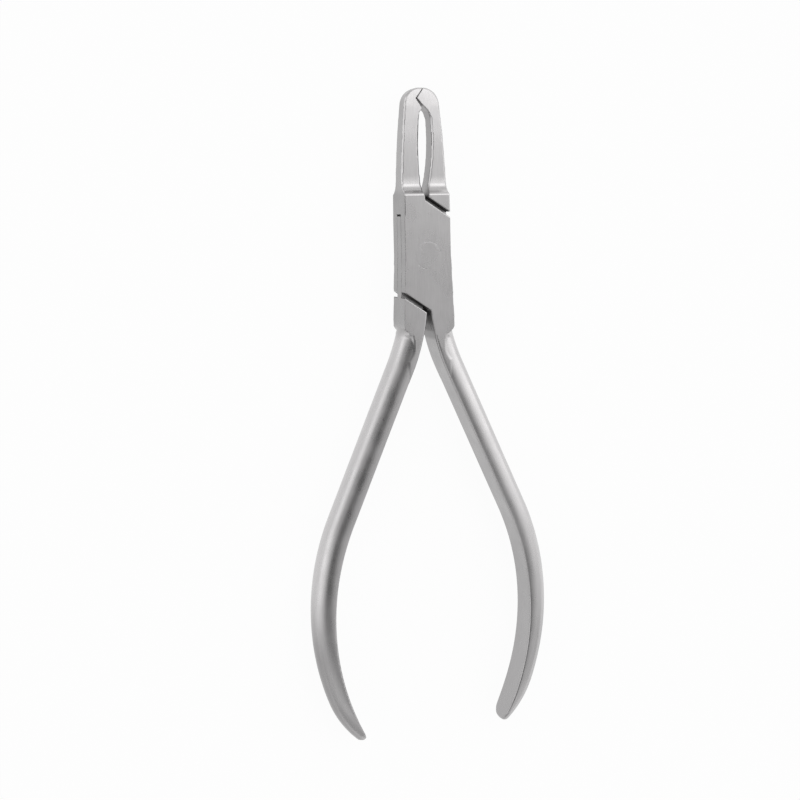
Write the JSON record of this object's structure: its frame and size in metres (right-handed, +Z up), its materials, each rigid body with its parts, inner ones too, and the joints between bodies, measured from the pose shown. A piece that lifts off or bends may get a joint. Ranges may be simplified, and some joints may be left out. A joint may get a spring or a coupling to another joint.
{
  "type": "crimping pliers",
  "caption": "Slim satin steel pliers with a box joint, a wedge and notch at the jaw tips for crimping, and bowed handles that open and close the jaws.",
  "frame": {"origin": "on the pivot axis, in the flat back face of the joint, which is the face that the pliers lie on", "axes": "+Z up along the pivot axis, out of the front face; +Y from the pivot to the jaw tips; +X to the right with the jaws pointing away"},
  "size_m": [0.0528, 0.1369, 0.0075],
  "materials": {
    "steel": "satin",
    "rivet_steel": "satin"
  },
  "bodies": {
    "slotted_body": {"slotted_half": "steel", "pivot_rivet": "rivet_steel"},
    "tongue_body": {"tongue_half": "steel"}
  },
  "joints": [
    {"name": "jaw_pivot", "type": "hinge", "parent": "slotted_body", "child": "tongue_body", "pos_m": [0, 0, 0.00375], "axis": [0, 0, -1], "range_deg": [0, 30]}
  ]
}
